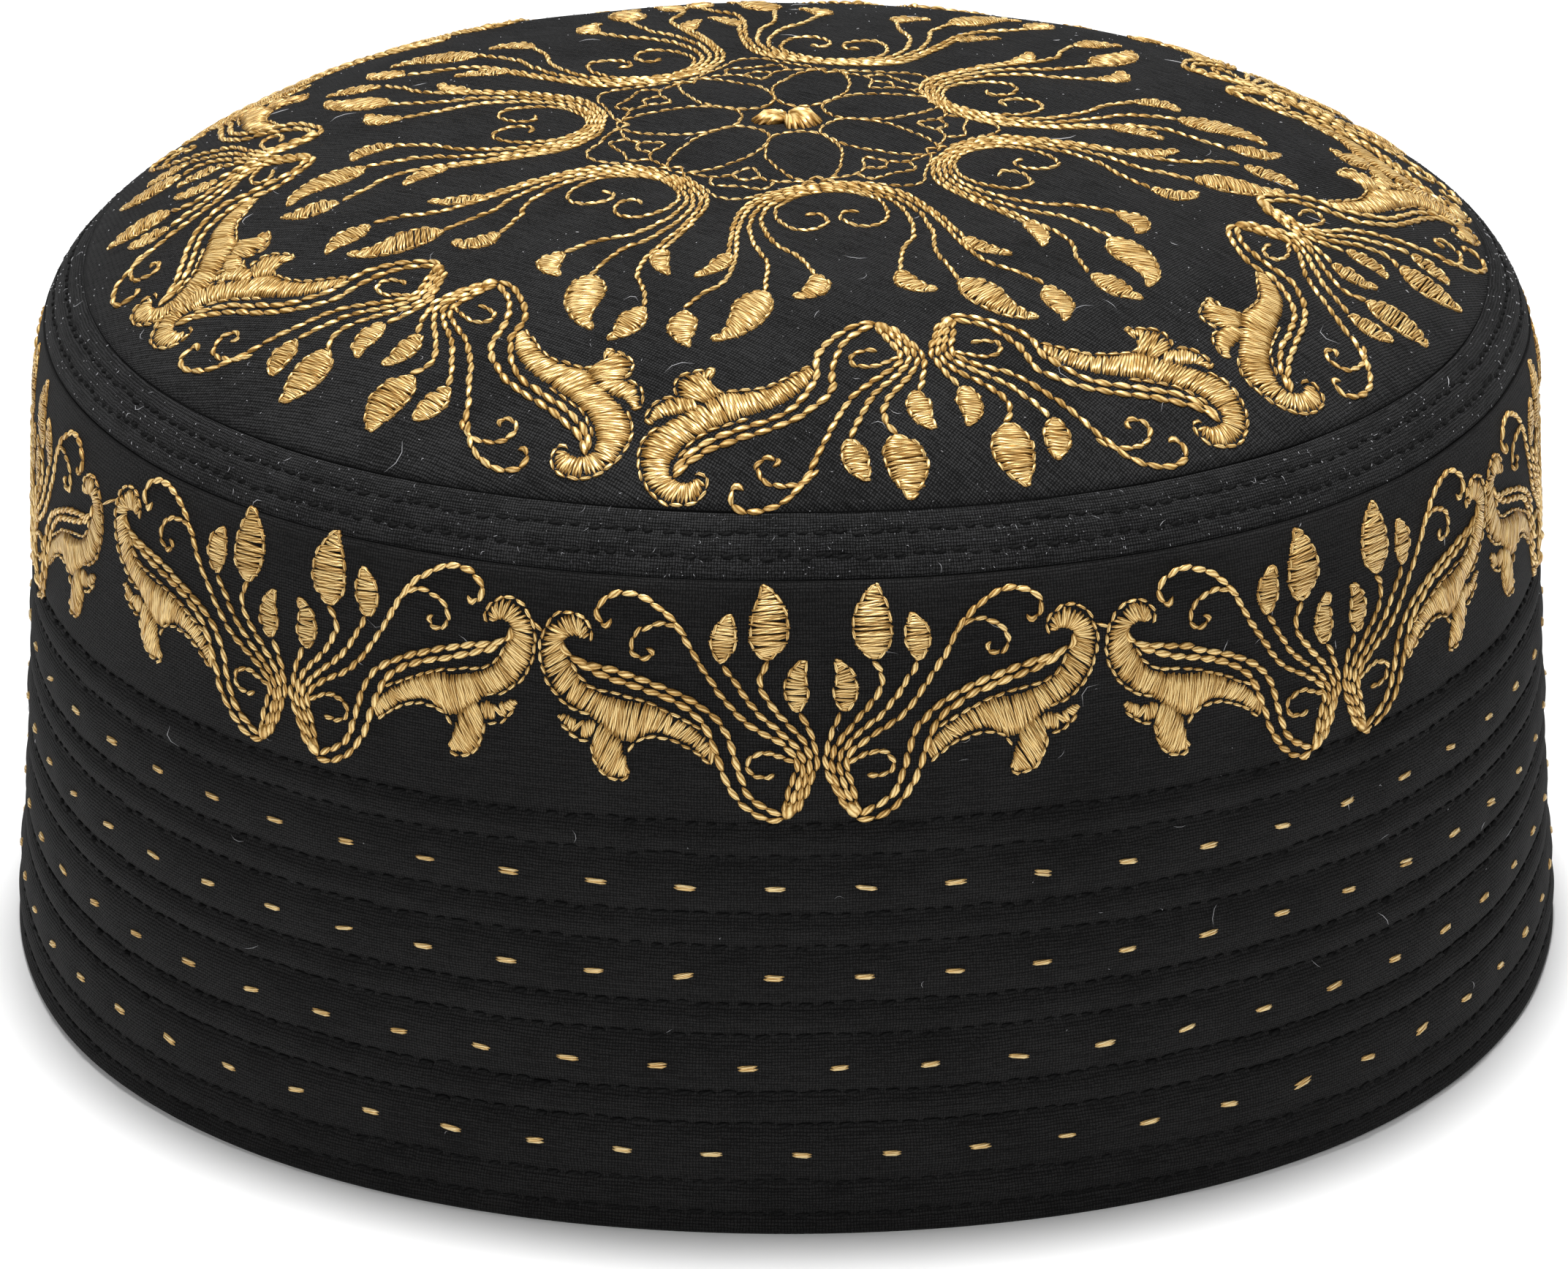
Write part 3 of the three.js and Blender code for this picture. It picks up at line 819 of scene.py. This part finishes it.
def cotton(name, dark, light, turn, clean_share):
    """Black plain-woven cotton: uneven threads, weave-painted shade and highlights, pale dust."""
    material, tree, surface = shader(
        name, roughness=0.8, Sheen_Weight=0.02, Sheen_Roughness=0.4, Specular_IOR_Level=0.1
    )
    chart = chart_of(tree)
    rotation = (0, 0, math.radians(turn))
    turned = node(tree, "ShaderNodeMapping", {"Vector": chart, "Rotation": rotation}).outputs[0]
    wander = noise(tree, turned, WANDER_SCALE, detail=2.0, output="Color")
    weave = plain_weave(tree, mixed(tree, WANDER_SHARE, turned, wander, blend_type="ADD"))
    slub = node(tree, "ShaderNodeMapping", {"Vector": turned, "Scale": SLUB_STRETCH}).outputs[0]
    slubs = noise(tree, slub, 1.0, detail=2.0)
    fine = noise(tree, turned, FINE_SCALE, detail=3.0)
    slow = noise(tree, turned, SLOW_SCALE, detail=3.0)
    mottle = calc(tree, "POWER", calc(tree, "ADD", fine, slubs), MOTTLE_POWER)
    uneven = calc(tree, "MULTIPLY", mottle, calc(tree, "ADD", slow, 0.5))
    # Painted shade between the threads and painted highlights on their tops, times their own mottle
    shade = calc(tree, "MULTIPLY", weave, uneven)
    cloth = ramp(tree, shade, *zip(CLOTH_STOPS, (dark, light)))
    specks = noise(tree, chart, DUST_SCALE, detail=2.0)
    black, white = (0, 0, 0, 1), (1, 1, 1, 1)
    dusty = ramp(tree, specks, (clean_share, black), (clean_share + DUST_EDGE, white))
    colour = mixed(tree, calc(tree, "MULTIPLY", dusty, DUST_SHARE), cloth, DUST)
    tree.links.new(colour, surface.inputs["Base Color"])
    height = calc(tree, "ADD", weave, calc(tree, "MULTIPLY", fine, 0.6))
    bump(tree, surface, height, strength=0.8, distance=WEAVE_BUMP)
    return material


def gold(name, *colours):
    """Rayon embroidery thread: a few twisted strands in each stitch, with painted shade and highlights.
    """
    material, tree, surface = shader(name, roughness=0.42, Specular_IOR_Level=0.4, Metallic=0.3)
    chart = chart_of(tree)
    split = split_chart(tree, chart)
    strand = strands(tree, split, around=3.0, lengthwise=0.45)
    crest = crest_of(tree, split[0])
    fibre = noise(tree, chart, 3.0, detail=2.0)
    # Painted shade on the thread's sides and between its strands, painted highlight on its crest,
    # random fibre
    shade = weighted(tree, (crest, 0.38), (strand, 0.32), (tone_and_end_shade_of(tree), 0.38), (fibre, 0.1))
    colour = ramp(tree, shade, *zip(GOLD_STOPS, colours))
    tree.links.new(colour, surface.inputs["Base Color"])
    bump(tree, surface, strand, strength=0.7, distance=GOLD_BUMP)
    return material


def black_thread(name, dark, light):
    material, tree, surface = shader(name, roughness=0.8, Specular_IOR_Level=0.05)
    strand = strands(tree, split_chart(tree, chart_of(tree)), around=2.0, lengthwise=0.8)
    # Painted shade between the strands and, through the tone, towards each stitch's ends
    shade = weighted(tree, (strand, 0.6), (tone_and_end_shade_of(tree), 0.4))
    colour = ramp(tree, shade, (0, dark), (1, light))
    tree.links.new(colour, surface.inputs["Base Color"])
    bump(tree, surface, strand, strength=0.5, distance=BLACK_BUMP)
    return material


def lint_material(name, dark, light):
    material, tree, surface = shader(name, roughness=0.7)
    # Random grey, with painted shade towards each fibre's ends
    colour = ramp(tree, tone_and_end_shade_of(tree), (0, dark), (1, light))
    tree.links.new(colour, surface.inputs["Base Color"])
    return material


# Painted light: one black cotton in two copies, duller on the band as if shaded, lighter on top as if
# lit
SHADED_BAND_BLACKS = ((0.0035, 0.0034, 0.0034, 1), (0.018, 0.0176, 0.0176, 1))
LIT_TOP_BLACKS = ((0.0015, 0.0015, 0.0015, 1), (0.03, 0.03, 0.0305, 1))
# Gold ramps: painted shadow brown, the thread's gold, and a painted highlight
THREAD_GOLDS = ((0.11, 0.04, 0.004, 1), (0.52, 0.29, 0.07, 1), (1.0, 0.74, 0.33, 1))
RUNNING_GOLDS = ((0.2, 0.09, 0.02, 1), (0.75, 0.48, 0.17, 1), (1.0, 0.82, 0.46, 1))
THREAD_BLACKS = ((0.002, 0.002, 0.002, 1), (0.013, 0.013, 0.013, 1))
LINT_GREYS = ((0.08, 0.08, 0.085, 1), (0.55, 0.55, 0.57, 1))

band_cotton = cotton("band_cotton", *SHADED_BAND_BLACKS, turn=0, clean_share=0.76)
strip_cotton = cotton("strip_cotton", *LIT_TOP_BLACKS, turn=0, clean_share=0.66)
crown_cotton = cotton("crown_cotton", *LIT_TOP_BLACKS, turn=35, clean_share=0.72)
thread_gold = gold("thread_gold", *THREAD_GOLDS)
running_gold = gold("running_gold", *RUNNING_GOLDS)
thread_black = black_thread("thread_black", *THREAD_BLACKS)
pale_fibre = lint_material("pale_fibre", *LINT_GREYS)

# The cloth of the cap
COLUMNS = 576
angles = -math.pi + np.arange(COLUMNS) * 2 * math.pi / COLUMNS
HEM_TOP = 1.2  # the band's rows are closest below this height, and closer below QUILT_TOP
QUILT_TOP = 52.5
FOLD_GAP = 0.3  # the cloth of the band ends this far below the fold
CROWN_GAP = 0.1  # and that of the crown this far inside the seam
CROWN_ROW_POWER = 0.85  # the crown's rows lie a little closer towards the seam
INSIDE_CHART = 200.0  # the chart of an inner face lies this far from the outer one's
CROWN_INSIDE_CHART = 300.0


def shell_rows(outer, inner):
    return [(True, number) for number in outer] + [(False, number) for number in inner]


def shell(rows, place, chart):
    """A closed ring of cloth from rows of (outer face or not, number on it)."""
    vertices = np.concatenate([place(*row) for row in rows])
    flat = np.concatenate([chart(*row) for row in rows])
    return vertices, [grid(len(rows), COLUMNS, closed_rows=True)], flat


def lathe_row(radius, height):
    return ring_points(radius * fuller(angles), angles, np.full_like(angles, height))


def round_chart(height):
    """One row of unrolled cloth; mesh_object mends the faces that join its two ends."""
    return np.stack([angles * CHART_RADIUS, np.full_like(angles, height)], -1)


def band_cloth():
    top = BAND_HEIGHT - FOLD_GAP
    levels = np.unique(np.concatenate([
        np.linspace(0, HEM_TOP, 5), np.linspace(HEM_TOP, QUILT_TOP, 80), np.linspace(QUILT_TOP, top, 24)
    ]))

    def place(outer, level):
        if outer:
            return on_wall(angles, np.full_like(angles, level), 0.0)
        return lathe_row(wall_radius(np.array(level)) - CLOTH, level)

    def chart(outer, level):
        return round_chart(level + (0 if outer else INSIDE_CHART))

    return shell(shell_rows(levels, np.linspace(top, 0, 14)), place, chart)


def strip_cloth():
    def place(outer, share):
        return on_strip(angles, np.full_like(angles, share), 0.0 if outer else -CLOTH)

    def chart(outer, share):
        return round_chart(share * STRIP_CHART + (0 if outer else INSIDE_CHART))

    return shell(shell_rows(np.linspace(0, 1, 26), (1, 0.5, 0)), place, chart)


def crown_cloth():
    edge = SEAM_RADIUS - CROWN_GAP
    outer = edge * np.linspace(1, 0, 66)[:-1] ** CROWN_ROW_POWER
    inner = edge * np.linspace(0, 1, 16)[1:]
    rows = shell_rows(outer, inner)

    def place(outer, radius):
        flat = radius * fuller(angles)
        x, y = flat * np.sin(angles), -flat * np.cos(angles)
        return on_crown(x, y, 0.0 if outer else -CLOTH)

    def chart(outer, radius):
        return place(True, radius)[:, :2] + (0 if outer else CROWN_INSIDE_CHART)

    vertices = np.concatenate([place(*row) for row in rows])
    flat = np.concatenate([chart(*row) for row in rows])
    around = np.arange(COLUMNS)
    right = (around + 1) % COLUMNS
    first_inner = len(outer) * COLUMNS
    last_outer = first_inner - COLUMNS
    last_inner = (len(rows) - 1) * COLUMNS
    outside = grid(len(outer), COLUMNS)
    inside = grid(len(inner), COLUMNS) + first_inner
    join = np.stack([last_inner + around, last_inner + right, right, around], -1)
    top, bottom = len(vertices), len(vertices) + 1
    cap = np.stack([last_outer + around, last_outer + right, np.full(COLUMNS, top)], -1)
    under = np.stack([first_inner + right, first_inner + around, np.full(COLUMNS, bottom)], -1)
    zero = np.array(0.0)
    vertices = np.concatenate([vertices, [on_crown(zero, zero, out) for out in (0.0, -CLOTH)]])
    flat = np.concatenate([flat, [[0, 0], [CROWN_INSIDE_CHART, CROWN_INSIDE_CHART]]])
    return vertices, [outside, inside, join, cap, under], flat


dress("cloth_band", band_cloth(), band_cotton, "band_cloth", "side_band")
dress("cloth_strip", strip_cloth(), strip_cotton, "strip_cloth", "shoulder_strip")
dress("cloth_crown", crown_cloth(), crown_cotton, "crown_cloth", "crown_top")

# Gold embroidery
frieze_work, border_work, vine_work = motif(FRIEZE_ARM), motif(BORDER_ARM), vine()
petal_work, wing_work = fine_lines([PETAL]), fine_lines(WING_LINES)
frieze = [band_map(*copy) for copy in FRIEZE_COPIES]
border = [
    crown_map(angle, wide=wide, start=BORDER_START + out, deep=deep, base=BORDER_FOOT)
    for angle, out, deep, wide in BORDER_COPIES
]
vines = [crown_map(angle, start=out, centre=INNER_CENTRE) for angle, out in VINE_COPIES]


def laid(threads, places, **how):
    return gather([threads.build(place, **how) for place in places])


# The machine's thread crosses from one motif's arm to the next
JUMP_END = (32.7, 72.6)


def jumps():
    threads = Threads(CHAIN_SHAPE, ROUND)
    middles = np.radians([angle for angle, rise in FRIEZE_COPIES]) * CHART_RADIUS
    levels = JUMP_END[1] + np.array([rise for angle, rise in FRIEZE_COPIES])
    start = np.stack([middles + JUMP_END[0], levels], -1)
    around = 2 * math.pi * CHART_RADIUS * (np.arange(len(middles)) == len(middles) - 1)
    end = np.stack([np.roll(middles, -1) + around - JUMP_END[0], np.roll(levels, -1)], -1)
    threads.add(start, end, half=0.2, high=0.5)
    return threads


def vine_builds():
    kinds = (vine_work.chains, vine_work.runs, vine_work.satins)
    return [threads.build(place) for threads in kinds for place in vines]


def rosette_builds():
    """Seven petals round the knot, and the small lines between each two of them."""
    return [
        work.runs.build(crown_map(PETAL_ANGLE + SEVENTH * (k + half_way), centre=INNER_CENTRE))
        for work, half_way in ((petal_work, 0), (wing_work, 0.5))
        for k in range(CROWN_COUNT)
    ]


# The order of these pieces is the order of their random draws
gold_pieces = {
    "frieze_stems": laid(frieze_work.chains, frieze),
    "frieze_jumps": laid(jumps(), [band_map(0)]),
    "frieze_outlines": laid(frieze_work.runs, frieze),
    "frieze_satin": laid(frieze_work.satins, frieze),
    "border_stems": laid(border_work.chains, border, within=CROWN_REACH),
    "border_outlines": laid(border_work.runs, border, within=CROWN_REACH),
    "border_satin": laid(border_work.satins, border, within=CROWN_REACH),
    "vine_threads": gather(vine_builds()),
    "rosette_threads": gather(rosette_builds()),
}
for name, build in gold_pieces.items():
    dress(name, build, thread_gold, "gold_thread")


# The knot at the middle: two fans of thick satin thread
KNOT_CENTRE = (0, -2.4)
KNOT_GATHER = 0.16  # how wide a fan still is where its threads gather
KNOT_HEIGHTS = (0.8, 1.15)  # from a fan's first thread to its last
KNOT_FANS = (  # where the threads gather, where they end, and how high they stand
    ((0.3, -0.5), ((0.4, 3.6), (1.3, 3.7), (2.2, 3.5), (3, 3.1), (3.7, 2.5), (4.2, 1.7), (4.4, 0.8),
     (4.3, -0.1), (3.9, -0.9), (3, -1.4)), 1.55),
    ((-0.2, -0.5), ((-2.3, 1.6), (-3.3, 1.7), (-3.9, 1.2), (-4.2, 0.5), (-4.2, -0.3), (-3.8, -1),
     (-2.9, -1.6), (-1.8, -1.8), (-0.7, -1.8)), 1.45),
)


def knot():
    fans = Threads(KNOT_SHAPE, ROUND)
    for gather_at, ends, high in KNOT_FANS:
        end = np.array(ends)
        start = np.array(gather_at) + KNOT_GATHER * (end - end.mean(axis=0))
        fans.add(start, end, half=0.34, high=high * np.linspace(*KNOT_HEIGHTS, len(ends)))
    return laid(fans, [crown_map(0, centre=KNOT_CENTRE)], jitter=0.03)


dress("knot_threads", knot(), thread_gold, "gold_thread", "centre_knot")


def running():
    """Gold running stitches: two strands side by side in each."""
    parts = []
    for level, first, many in RUNNING_ROWS:
        threads = Threads(RUNNING_SHAPE, ROUND)
        middle = np.radians(first + np.arange(many) * 360 / many) * CHART_RADIUS
        lean = draw.normal(0, 0.12, many)
        reach = RUNNING_LENGTH / 2 * draw.uniform(0.88, 1.1, many)
        for gap in (-0.13, 0.13):
            start = np.stack([middle - reach, level + gap - lean], -1)
            end = np.stack([middle + reach, level + gap + lean], -1)
            threads.add(start, end, half=0.19, high=0.42)
        parts.append(threads.build(band_map(0), jitter=0.04))
    return gather(parts)


dress("running_stitches", running(), running_gold, "gold_thread")

BLACK_REACH = (0.28, 0.45)  # half a black stitch's length, as a share of the step


def black_rows(levels, place, radius, step, high):
    """Black stitches that hold the quilting and the seams."""
    parts = []
    for level in levels:
        count = round(2 * math.pi * radius / step)
        middle = (np.arange(count) + draw.uniform(0, 1)) * 2 * math.pi * CHART_RADIUS / count
        reach = draw.uniform(*BLACK_REACH, count) * 2 * math.pi * CHART_RADIUS / count
        threads = Threads(RUN_SHAPE, FLAT)
        start = np.stack([middle - reach, np.full(count, level)], -1)
        end = np.stack([middle + reach, np.full(count, level)], -1)
        threads.add(start, end, half=0.31, high=high)
        parts.append(threads.build(place, jitter=0.11))
    return gather(parts)


def strip_place(p, out):
    return on_strip(p[..., 0] / CHART_RADIUS, p[..., 1] / STRIP_CHART, out)


strip_levels = [share * STRIP_CHART for share in STRIP_ROWS]
quilt = black_rows(STITCHED_ROWS, band_map(0), radius=CHART_RADIUS, step=2.4, high=0.34)
dress("quilting_stitches", quilt, thread_black, "band_cloth")
strip = black_rows(strip_levels, strip_place, radius=90, step=2.2, high=0.24)
dress("strip_stitches", strip, thread_black, "strip_cloth")

# Pale lint, most of it near the crown seam
LINT_FIBRES = 420  # a third of them on the strip, on the crown and on the band
LINT_SPECKS = 900  # on the strip, and as many on the crown
LINT_SHORTEST = 0.08


def fibres(chart_x, chart_y, place, longest):
    """Thin curved fibres about the given chart points, most of them short."""
    count = len(chart_x)
    middle = np.stack([chart_x, chart_y], -1)
    turn = draw.uniform(0, 2 * math.pi, count)
    reach = draw.uniform(0.1, 1.0, count) ** 2.2 * longest + LINT_SHORTEST
    way = np.stack([np.cos(turn), np.sin(turn)], -1) * reach[:, None]
    bow = middle + np.stack([-way[:, 1], way[:, 0]], -1) * draw.normal(0, 0.5, count)[:, None]
    threads = Threads(HAIR_SHAPE, HAIR)
    threads.add(middle - way, middle + way, half=0.033, high=0.11, low=0.02, middle=bow)
    return threads.build(place, jitter=0.02)


def strip_fibres(count, edge, longest):
    across = draw.uniform(0, 2 * math.pi * CHART_RADIUS, count)
    return fibres(across, draw.uniform(edge, STRIP_CHART - edge, count), strip_place, longest)


def crown_fibres(count, reach, power, longest):
    """A lower power brings the fibres closer to the seam."""
    turn = draw.uniform(0, 2 * math.pi, count)
    radius = reach * draw.uniform(0, 1, count) ** power
    return fibres(radius * np.sin(turn), radius * np.cos(turn), crown_map(0), longest)


def band_fibres(count, longest):
    across = draw.uniform(0, 2 * math.pi * CHART_RADIUS, count)
    level = BAND_HEIGHT * draw.uniform(0.02, 0.99, count) ** 0.6
    return fibres(across, level, band_map(0), longest)


third = LINT_FIBRES // 3
lint = [
    strip_fibres(third, edge=0.2, longest=0.8),
    crown_fibres(third, reach=86, power=0.4, longest=1.8),
    band_fibres(third, longest=1.5),
    strip_fibres(LINT_SPECKS, edge=0.1, longest=0.12),
    crown_fibres(LINT_SPECKS, reach=86.2, power=0.25, longest=0.08),
]
dress("lint", gather(lint), pale_fibre, "strip_cloth")

# Floor, light and camera
FLOOR_HALF = 6.0  # in metres
FLOOR_WHITE = (0.93, 0.93, 0.93, 1)


def floor():
    mesh = bpy.data.meshes.new("floor")
    signs = ((-1, -1), (1, -1), (1, 1), (-1, 1))
    corners = [(FLOOR_HALF * x, FLOOR_HALF * y, 0) for x, y in signs]
    mesh.from_pydata(corners, [], [(0, 1, 2, 3)])
    piece = bpy.data.objects.new("floor", mesh)
    bpy.context.scene.collection.objects.link(piece)
    mesh.materials.append(shader("floor_white", roughness=0.9, Base_Color=FLOOR_WHITE)[0])


floor()

LIGHT_TARGET = (0, 0, 0.05)
LIGHTS = (  # name, place and width in metres, power in watts
    ("overhead", (0, 0.14, 1.5), 0.34, 28),
    ("front", (-0.35, -1.3, 0.75), 0.7, 7.4),
    ("side", (1.1, -0.6, 0.8), 0.7, 2.6),
)
WORLD_STRENGTH = 0.11


def area_light(name, place, size, power):
    light = bpy.data.lights.new(name, "AREA")
    light.shape = "DISK"
    light.size = size
    light.energy = power
    lamp = bpy.data.objects.new(name, light)
    lamp.location = place
    way = np.array(LIGHT_TARGET) - np.array(place)
    tilt = math.atan2(math.hypot(way[0], way[1]), -way[2])
    lamp.rotation_euler = (tilt, 0, math.atan2(way[0], -way[1]) + math.pi)
    bpy.context.scene.collection.objects.link(lamp)


for light_values in LIGHTS:
    area_light(*light_values)

world = bpy.data.worlds.new("studio")
world.use_nodes = True
backdrop = world.node_tree.nodes["Background"]
backdrop.inputs["Color"].default_value = (1, 1, 1, 1)
backdrop.inputs["Strength"].default_value = WORLD_STRENGTH
bpy.context.scene.world = world
bpy.context.scene.view_settings.view_transform = "Standard"

ELEVATION = math.radians(22.5)
DISTANCE = 1018.7
LOOK_HEIGHT = 35.35
SENSOR = 36.0
IMAGE_WIDTH = 2145
FOCAL_PIXELS = 11135.3
AXIS_PIXEL = 1075.15

camera_data = bpy.data.cameras.new("camera")
camera_data.sensor_width = SENSOR
camera_data.sensor_fit = "HORIZONTAL"
camera_data.lens = SENSOR * FOCAL_PIXELS / IMAGE_WIDTH
camera_data.shift_x = (IMAGE_WIDTH / 2 - AXIS_PIXEL) / IMAGE_WIDTH
camera_data.clip_start = 0.05
camera_data.clip_end = 30
camera = bpy.data.objects.new("camera", camera_data)
camera.location = (
    0,
    -DISTANCE * math.cos(ELEVATION) * MM,
    (LOOK_HEIGHT + DISTANCE * math.sin(ELEVATION)) * MM,
)
camera.rotation_euler = (math.pi / 2 - ELEVATION, 0, 0)
bpy.context.scene.collection.objects.link(camera)
bpy.context.scene.camera = camera
